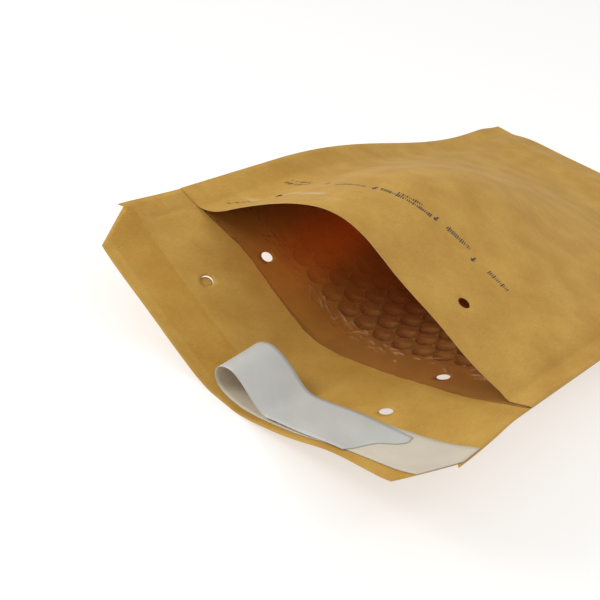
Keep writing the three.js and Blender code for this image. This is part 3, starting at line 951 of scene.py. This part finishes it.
# %% A staggered grid of points for the bubbles
bubble_tree, given = node_group("bubble_honeycomb", [
    ("Bubble Radius", FLOAT), ("Pitch", FLOAT), ("Row Pitch", FLOAT),
    ("Columns", INTEGER), ("Rows", INTEGER), ("Unevenness", FLOAT),
    ("Seed", INTEGER), ("Film", MATERIAL),
])
tree = bubble_tree
columns_less_one = math_node(tree, "SUBTRACT", given["Columns"], 1)
rows_less_one = math_node(tree, "SUBTRACT", given["Rows"], 1)
grid = add(tree, "GeometryNodeMeshGrid", {
    "Size X": math_node(tree, "MULTIPLY", columns_less_one, given["Pitch"]),
    "Size Y": math_node(tree, "MULTIPLY", rows_less_one, given["Row Pitch"]),
    "Vertices X": given["Columns"], "Vertices Y": given["Rows"],
})
point_index = add(tree, "GeometryNodeInputIndex").outputs[0]
row = math_node(tree, "FLOORED_MODULO", point_index, given["Rows"])
odd = math_node(tree, "FLOORED_MODULO", row, 2)
half_pitch = math_node(tree, "MULTIPLY", given["Pitch"], 0.5)
staggered = add(tree, "GeometryNodeSetPosition", {
    "Geometry": grid.outputs["Mesh"],
    "Offset": xyz(tree, math_node(tree, "MULTIPLY", odd, half_pitch)),
})
print("staggered grid:", len(tree.nodes), "nodes")

# %% One dome: a cylinder, one unit high, that narrows towards its top
NARROWER_AT_TOP, NARROWING_POWER = 0.34, 2.6
dome = add(tree, "GeometryNodeMeshCylinder", {
    "Vertices": 14, "Side Segments": 3, "Radius": given["Bubble Radius"], "Depth": 1.0,
})
position = add(tree, "GeometryNodeInputPosition").outputs[0]
level_z = add(tree, "ShaderNodeSeparateXYZ", {0: position}).outputs[2]
height = math_node(tree, "ADD", level_z, 0.5)
rise = math_node(tree, "POWER", height, NARROWING_POWER)
narrowing = math_node(tree, "MULTIPLY", rise, NARROWER_AT_TOP)
spread_share = math_node(tree, "SUBTRACT", 1, narrowing)
shaped = add(tree, "ShaderNodeVectorMath", {
    0: position, 1: xyz(tree, spread_share, spread_share, 1.0),
}, operation="MULTIPLY")
domed = add(tree, "GeometryNodeSetPosition", {
    "Geometry": dome.outputs["Mesh"], "Position": shaped.outputs[0], "Offset": (0, 0, 0.5),
})
print("with the dome:", len(tree.nodes), "nodes")

# %% A dome on every point
SIZE_IN_WIDTH = 0.12
size = random_size(tree, given)
wide = math_node(tree, "MULTIPLY_ADD", size, SIZE_IN_WIDTH, 1 - SIZE_IN_WIDTH)
copies = add(tree, "GeometryNodeInstanceOnPoints", {
    "Points": staggered.outputs[0], "Instance": domed.outputs[0],
    "Scale": xyz(tree, wide, wide, size),
})
real = add(tree, "GeometryNodeRealizeInstances", {0: copies.outputs[0]})
rounded = add(tree, "GeometryNodeSetShadeSmooth", {0: real.outputs[0]})
clothed = add(tree, "GeometryNodeSetMaterial", {
    "Geometry": rounded.outputs[0], "Material": given["Film"],
})
add(tree, "NodeGroupOutput", {0: clothed.outputs[0]})
print("bubble tree:", len(tree.nodes), "nodes")

# %% Make the bubbles and put them in the envelope
PITCH_ACROSS = 11.0
PITCH_ALONG = PITCH_ACROSS * math.sqrt(3) / 2
BUBBLE_RADIUS, BUBBLE_HEIGHT = 5.15, 3.0
FIRST_ROW = 31.0
HEADROOM = 0.15
COLUMNS = 15
ROW_COUNT = int((WEB_END - 2 * FIRST_ROW) / PITCH_ALONG) + 1
flat_bubbles, points = run_nodes(bubble_tree, "liner_bubbles", {
    "Bubble Radius": BUBBLE_RADIUS, "Pitch": PITCH_ACROSS, "Row Pitch": PITCH_ALONG,
    "Columns": COLUMNS, "Rows": ROW_COUNT, "Unevenness": 0.35, "Seed": 4,
    "Film": dome_material,
})
x = points[:, 0] + (WIDTH - PITCH_ACROSS / 2) / 2
w = points[:, 1] + WEB_END / 2
bare = film_depth + FILM + GLUE_LINE
space = room(x, w) / 2 - bare - HEADROOM
grown = smooth(np.minimum(w, WEB_END - w), 22, 42) * 0.6 + 0.4
in_fold = 0.25 + 0.75 * smooth(np.abs(w - WEB_END / 2), 4, 14)
height = np.minimum(BUBBLE_HEIGHT * grown * in_fold, np.maximum(space, 0.02))
flat_bubbles.vertices.foreach_set("co", form(x, w, bare + points[:, 2] * height).ravel())
flat_bubbles.update()
liner_bubbles = put("liner_bubbles", flat_bubbles)
print(COLUMNS * ROW_COUNT, "bubbles,", len(flat_bubbles.polygons), "faces, x from",
      round(float(x.min()), 1), "to", round(float(x.max()), 1))

# %% [markdown]
# ## Printed marks
#
# The front carries one thin printed line of marks behind its lip. They say
# nothing here: each is a row of small bars of uneven height, made with
# Geometry Nodes, and arrows point from the line towards the lip. Bars and
# arrows are drawn flat, as closed slabs of ink, and bent with the paper.

# %% Geometry Nodes tree for a row of bars
bar_tree, given = node_group("bar_row", [
    ("Bars", INTEGER), ("Pitch", FLOAT), ("Bar Width", FLOAT), ("Bar Height", FLOAT),
    ("Unevenness", FLOAT), ("Seed", INTEGER), ("Ink", MATERIAL),
])
tree = bar_tree
stops = add(tree, "GeometryNodeMeshLine", {
    "Count": given["Bars"], "Offset": xyz(tree, given["Pitch"]),
})
bar = add(tree, "GeometryNodeMeshCube", {
    "Size": xyz(tree, given["Bar Width"], given["Bar Height"], 1.0),
})
share = random_size(tree, given)
copies = add(tree, "GeometryNodeInstanceOnPoints", {
    "Points": stops.outputs[0], "Instance": bar.outputs["Mesh"],
    "Scale": xyz(tree, share, share, 1.0),
})
real = add(tree, "GeometryNodeRealizeInstances", {0: copies.outputs[0]})
inked = add(tree, "GeometryNodeSetMaterial", {
    "Geometry": real.outputs[0], "Material": given["Ink"],
})
add(tree, "NodeGroupOutput", {0: inked.outputs[0]})
print("bar tree:", len(tree.nodes), "nodes")

# %% Ink material
ink, tree = new_material("printing_ink")
wear = noise(tree, object_map(tree), 1400, 3, 0.6)
paint(tree, {
    "Base Color": ramp(tree, wear, [(0.35, (0.022, 0.018, 0.028)), (0.65, (0.075, 0.055, 0.045))]),
    "Roughness": 0.6,
})
print("material:", ink.name)

# %% Where the marks go
INK_LOW, INK_HIGH = -0.004, -0.03
BAR_PITCH = 0.98
BAR_WIDTH = 0.72
# Each row of bars: its two ends, as x and distance behind the lip, and its height, in mm
MARK_ROWS = [
    ((15, 52), (30, 52), 3.0), ((15, 56), (25, 57), 2.6), ((62, 31.5), (78.5, 31.5), 1.9),
    ((84.5, 34.5), (107, 41.5), 2.3), ((90.5, 38.6), (101, 42.6), 2.2),
    ((115, 45), (127.5, 48.4), 3.1), ((140.5, 47), (152, 47.2), 3.1), ((16, 13), (22, 23), 1.8),
]
# The middle of each arrow, in the same way, and an arrow's outline around it
ARROWS = [(54, 36), (82, 33), (109.3, 43), (132.3, 45.3)]
ARROW_OUTLINE = np.array([
    (0, -1.9), (1.3, -0.3), (0.45, -0.3), (0.45, 1.7), (-0.45, 1.7), (-0.45, -0.3), (-1.3, -0.3),
])


def prism(outline):
    """Points and faces of a flat outline, one unit thick."""
    count = len(outline)
    points = np.vstack([np.c_[outline, np.full(count, z)] for z in (-0.5, 0.5)])
    walls = [[k, (k + 1) % count, (k + 1) % count + count, k + count] for k in range(count)]
    return points, [list(range(count))[::-1], list(range(count, 2 * count)), *walls]


mark_points, mark_faces = [], []


def put_mark(points, faces):
    """Adds one closed slab to the marks."""
    first = sum(map(len, mark_points))
    mark_points.append(points)
    mark_faces.extend([[first + k for k in face] for face in faces])


print(len(MARK_ROWS), "rows of bars and", len(ARROWS), "arrows to place")

# %% The printed marks
for seed, (start, end, tall) in enumerate(MARK_ROWS):
    start, end = np.array(start, float), np.array(end, float)
    length = np.linalg.norm(end - start)
    row, points = run_nodes(bar_tree, "bars", {
        "Bars": int(length / BAR_PITCH) + 1, "Pitch": BAR_PITCH, "Bar Width": BAR_WIDTH,
        "Bar Height": tall, "Unevenness": 0.6, "Seed": seed, "Ink": ink,
    })
    cos, sin = (end - start) / length
    turned = points[:, :2] @ np.array([[cos, sin], [-sin, cos]]) + start
    put_mark(np.c_[turned, points[:, 2]], [list(face.vertices) for face in row.polygons])
for centre in ARROWS:
    points, faces = prism(ARROW_OUTLINE)
    points[:, :2] += centre
    put_mark(points, faces)

marks = np.vstack(mark_points)
ink_depth = INK_LOW + (INK_HIGH - INK_LOW) * (marks[:, 2] + 0.5)
bent = form(marks[:, 0], WEB_END - marks[:, 1], ink_depth)
mark_mesh = bpy.data.meshes.new("printed_marks")
mark_mesh.from_pydata(bent.tolist(), [], mark_faces)
mark_mesh.materials.append(ink)
printed_marks = put("printed_marks", mark_mesh)
print("printed marks have", len(mark_mesh.polygons), "faces")

# %% [markdown]
# ## The glue and the release strip
#
# The glue is a thin clear band across the flap. It shows where the release
# strip has been peeled off it. The strip itself is thin siliconised paper. Its
# two long edges follow two slightly different lines through space, because
# the loop is a little wider towards the mouth, and the strip is the surface
# between those lines. Over the right half it was laid on at a slight slant.

# %% Glue material and band
glue_material, tree = new_material("hot_melt_glue")
streaks = noise(tree, object_map(tree), 60, 3, 0.5)
tint = ramp(tree, streaks, [(0.3, (0.998, 0.989, 0.968)), (0.7, (0.995, 0.979, 0.943))])
partly_clear(tree, math_node(tree, "MULTIPLY", streaks, 0.04), tint, {
    "Base Color": (0.52, 0.28, 0.05, 1), "Roughness": 0.6, "Specular IOR Level": 0.3,
})

GLUE_NEAR, GLUE_FAR, GLUE_THICK = 28.0, 46.0, 0.06
# How far the band stays inside the flap's sides: at its near edge, at the
# notches and at its far edge
FROM_SIDE_NEAR, FROM_SIDE_AT_NOTCH, FROM_SIDE_FAR = 2, 3.9, 13.2
glue_outline = subdivided([
    (FROM_SIDE_FAR, -GLUE_FAR), (WIDTH - FROM_SIDE_FAR, -GLUE_FAR),
    (WIDTH - FROM_SIDE_AT_NOTCH, -NOTCH_AT), (WIDTH - FROM_SIDE_NEAR, -GLUE_NEAR),
    (FROM_SIDE_NEAR, -GLUE_NEAR), (FROM_SIDE_AT_NOTCH, -NOTCH_AT),
], GRID)
flat, triangles = filled(glue_outline, [], lines(across, np.arange(-44, -GLUE_NEAR, GRID)))
glue_depth = PAPER + GLUE_LINE
glue_band = thin_solid(
    "glue_band", flat, triangles,
    form(*flat.T, glue_depth), form(*flat.T, glue_depth + GLUE_THICK), [glue_material] * 3,
)

# %% Release paper material
def release_paper(name, dark, light, roughness):
    """One side of the release paper: a cloudy tone with fine specks."""
    material, tree = new_material(name)
    cloud = noise(tree, flat_map(tree), 0.06, 3, 0.5)
    speck = noise(tree, flat_map(tree), 1.4, 3, 0.6)
    tone = ramp(tree, cloud, [(0.3, dark), (0.7, light)])
    speck_tone = ramp(tree, speck, [(0.3, grey(0.94)), (0.7, grey(1.04))])
    paint(tree, {
        "Base Color": mixed(tree, "MULTIPLY", 0.5, tone, speck_tone),
        "Roughness": roughness, "Specular IOR Level": 0.4,
        "Normal": bumped(tree, speck, 0.08, 0.0002),
    })
    return material


silicone_face = release_paper("release_paper", (0.47, 0.465, 0.43), (0.53, 0.525, 0.49), 0.42)
bare_face = release_paper("release_paper_bare_side", (0.56, 0.50, 0.39), (0.63, 0.565, 0.45), 0.6)
print("materials:", glue_material.name, silicone_face.name, bare_face.name)

# %% The release strip's two edge lines
STRIP_NEAR, STRIP_FAR, STRIP_THICK = 25.8, 48.0, 0.12
STUCK_DEPTH = glue_depth + GLUE_THICK + 4 * GLUE_LINE
PEEL_X = 96.0


def smooth_line(points, count):
    """Even points along a Catmull-Rom curve. The first and last only guide its ends."""
    p = np.array(points, float)
    t = np.linspace(0, 1, 16, endpoint=False)[:, None]
    parts = [
        0.5 * (2 * b + (c - a) * t + (2 * a - 5 * b + 4 * c - d) * t**2
               + (3 * b - a - 3 * c + d) * t**3)
        for a, b, c, d in zip(p, p[1:], p[2:], p[3:])
    ]
    fine = np.vstack([*parts, p[-2:-1]])
    run = np.concatenate([[0], np.cumsum(np.linalg.norm(np.diff(fine, axis=0), axis=1))])
    at = np.linspace(0, run[-1], count)
    return np.stack([np.interp(at, run, fine[:, k]) for k in range(2)], -1)


def eased(line, first, last, rounds=8):
    """The line with its points from first to last drawn towards their neighbours."""
    line = line.copy()
    for _ in range(rounds):
        middle = (line[first - 1:last - 1] + line[first + 1:last + 1]) / 2
        line[first:last] = (line[first:last] + middle) / 2
    return line


def stuck_point(x, w, lift=0.0):
    """A point of the strip where it lies on the flap, in mm, x and z only."""
    point = (form(x, w, STUCK_DEPTH + lift) - (0, mouth_y, 0)) / MM
    return point[..., [0, 2]]


# The loop's two edges, x and height in mm, from the peel line to where it lands
LOOP_OUTER = [
    (-4.1, 1.0), (-7.6, 2.8), (-9.5, 5.6), (-9.5, 9.0), (-7.0, 11.7), (-1.5, 13.5),
    (4.5, 11.7), (10.7, 8.2), (18.0, 4.9),
]
LOOP_INNER = [
    (-4.1, 1.0), (-8.4, 3.0), (-11.2, 6.3), (-10.9, 10.6), (-6.8, 14.2), (-0.6, 15.8),
    (8.4, 13.2), (17.9, 7.9),
]
print("loop points:", len(LOOP_OUTER), "and", len(LOOP_INNER))

# %% The strip's ends, its landing and its slant
LANDING_X = 124.5
ACROSS_STRIP = np.linspace(-STRIP_FAR, -STRIP_NEAR, 13)
# The torn free end, as x at each w, and the cut end, as distance from the side
FREE_END = [
    (-48.3, 159.8), (-45.5, 162), (-41, 164), (-36.5, 166.5), (-32.5, 172.6), (-29.5, 174.7),
    (-25.7, 174),
]
END_CUT = [(-48.0, 12.6), (-32.5, 1.9), (-32.4, 0.6), (-25.8, 0.6)]
SLANT_FROM, SLANT_TO = 145, 200
SLANT = 4.2
# How high the free layer lies over the stuck one, and how far it drifts sideways
FREE_HEIGHTS = [(0, 2.0), (0.35, 1.4), (0.7, 0.62), (1, 0.38)]
FREE_DRIFT = -0.2
LOOP_COUNT, RUN_COUNT, FREE_COUNT = 72, 50, 36
print("stations along the strip:", RUN_COUNT + LOOP_COUNT - 2 + FREE_COUNT)

# %% Trace the release strip
strip_rows, strip_flat = [], []
for w in ACROSS_STRIP:
    share = (w + STRIP_FAR) / (STRIP_FAR - STRIP_NEAR)
    end = WIDTH - np.interp(w + SLANT, *zip(*END_CUT))
    run_x = np.linspace(end, PEEL_X + 1.5, RUN_COUNT)
    run_w = w + SLANT * smooth(run_x, SLANT_FROM, SLANT_TO)
    run = stuck_point(run_x, run_w)
    s = np.linspace(0, 1, FREE_COUNT)
    free_x = LANDING_X + (np.interp(w, *zip(*FREE_END)) - LANDING_X) * s
    free_w = w + FREE_DRIFT * s * s
    free = stuck_point(free_x, free_w, whole(FREE_HEIGHTS, s))
    outer, inner = (
        smooth_line([run[-2], run[-1], *line, free[0], free[1]], LOOP_COUNT)
        for line in (LOOP_OUTER, LOOP_INNER)
    )
    loop = outer + (inner - outer) * share
    xz = eased(np.vstack([run, loop[1:-1], free]), RUN_COUNT - 3, RUN_COUNT + LOOP_COUNT + 6)
    y = np.concatenate([run_w, np.full(LOOP_COUNT - 2, w), free_w])
    strip_rows.append(np.stack([xz[:, 0], y, xz[:, 1]], -1))
    step = np.linalg.norm(np.diff(xz, axis=0), axis=1)
    strip_flat.append(np.concatenate([[0], np.cumsum(step)]))
centre = np.array(strip_rows)
print("strip length on its two edges, mm:", [round(line[-1], 1) for line in strip_flat[::12]])

# %% Give the strip its thickness
along_strip = np.gradient(centre, axis=1)
across_strip = np.gradient(centre, axis=0)
normal = np.cross(across_strip, along_strip)
normal /= np.linalg.norm(normal, axis=-1, keepdims=True)
columns, stations = centre.shape[:2]
index = np.arange(columns * stations).reshape(columns, stations)
a, b, c, d = index[:-1, :-1], index[1:, :-1], index[1:, 1:], index[:-1, 1:]
triangles = np.vstack([np.stack(t, -1).reshape(-1, 3) for t in ((a, b, c), (a, c, d))])
strip_w = np.repeat(ACROSS_STRIP[:, None], stations, 1)
flat = np.stack([np.array(strip_flat), strip_w], -1).reshape(-1, 2)
glued_side, bare_side = (
    (centre + thick * normal).reshape(-1, 3) * MM + (0, mouth_y, 0)
    for thick in (0, STRIP_THICK)
)
release_strip = thin_solid(
    "release_paper_strip", flat, triangles, glued_side, bare_side,
    [bare_face, silicone_face, silicone_face],
)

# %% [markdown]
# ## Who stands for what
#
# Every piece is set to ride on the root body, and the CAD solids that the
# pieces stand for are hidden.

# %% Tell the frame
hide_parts("kraft_envelope")
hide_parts("kraft_envelope")
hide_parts("kraft_envelope")
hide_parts("bubble_liner")
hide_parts("bubble_liner")
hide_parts("adhesive_strip")
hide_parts("release_strip")
for piece, slot in (
    (kraft_sheet, "kraft_paper"), (hanging_disc, "kraft_paper"), (printed_marks, "kraft_paper"),
    (liner_film, "bubble_film"), (liner_bubbles, "bubble_film"),
    (glue_band, "hot_melt_glue"), (release_strip, "release_paper"),
):
    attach(piece, "root")
